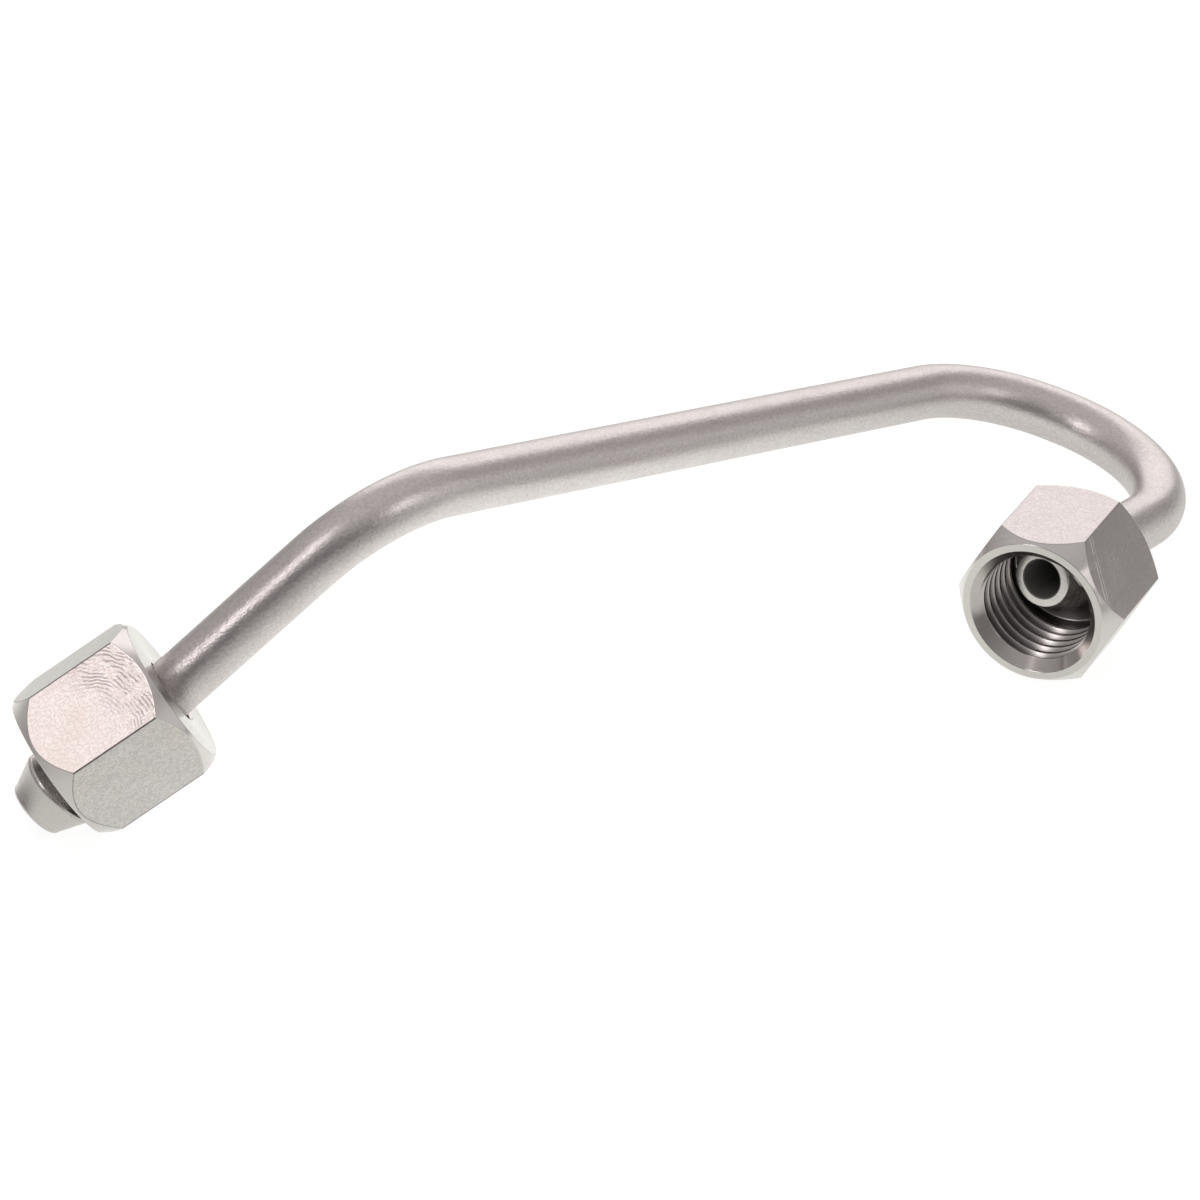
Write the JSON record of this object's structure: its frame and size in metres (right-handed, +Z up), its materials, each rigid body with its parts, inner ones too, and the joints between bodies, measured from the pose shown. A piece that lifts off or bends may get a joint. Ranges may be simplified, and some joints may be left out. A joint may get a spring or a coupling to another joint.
{
  "type": "fuel feed line",
  "caption": "Bent steel fuel feed line: a rigid tube with a formed coned sealing head on each end and a loose hexagon union nut behind each head.",
  "frame": {"origin": "bottom centre of the line's box, on the surface that it lies on", "axes": "+Z up from that surface, +X along the longest extent from the left nut to the return bend, -Y towards the side that the right nut's mouth faces"},
  "size_m": [0.1296, 0.0894, 0.0365],
  "materials": {
    "tube_steel": "satin, faintly mottled, drawn lengthways",
    "left_nut_steel": "milled flats, turned chamfers, bright thread",
    "right_nut_steel": "milled flats, turned chamfers, bright thread"
  },
  "bodies": {
    "tube": {"feed_tube": "tube_steel"},
    "left_nut": {"left_union_nut": "left_nut_steel"},
    "right_nut": {"right_union_nut": "right_nut_steel"}
  },
  "joints": [
    {"name": "left_nut_turn", "type": "hinge", "parent": "tube", "child": "left_nut", "pos_m": [-0.06016, -0.03634, 0.00789], "axis": [0.8281, 0.2489, 0.5024], "continuous": true},
    {"name": "right_nut_turn", "type": "hinge", "parent": "tube", "child": "right_nut", "pos_m": [0.04437, -0.00937, 0.0095], "axis": [0.4436, 0.8941, -0.0609], "continuous": true}
  ]
}
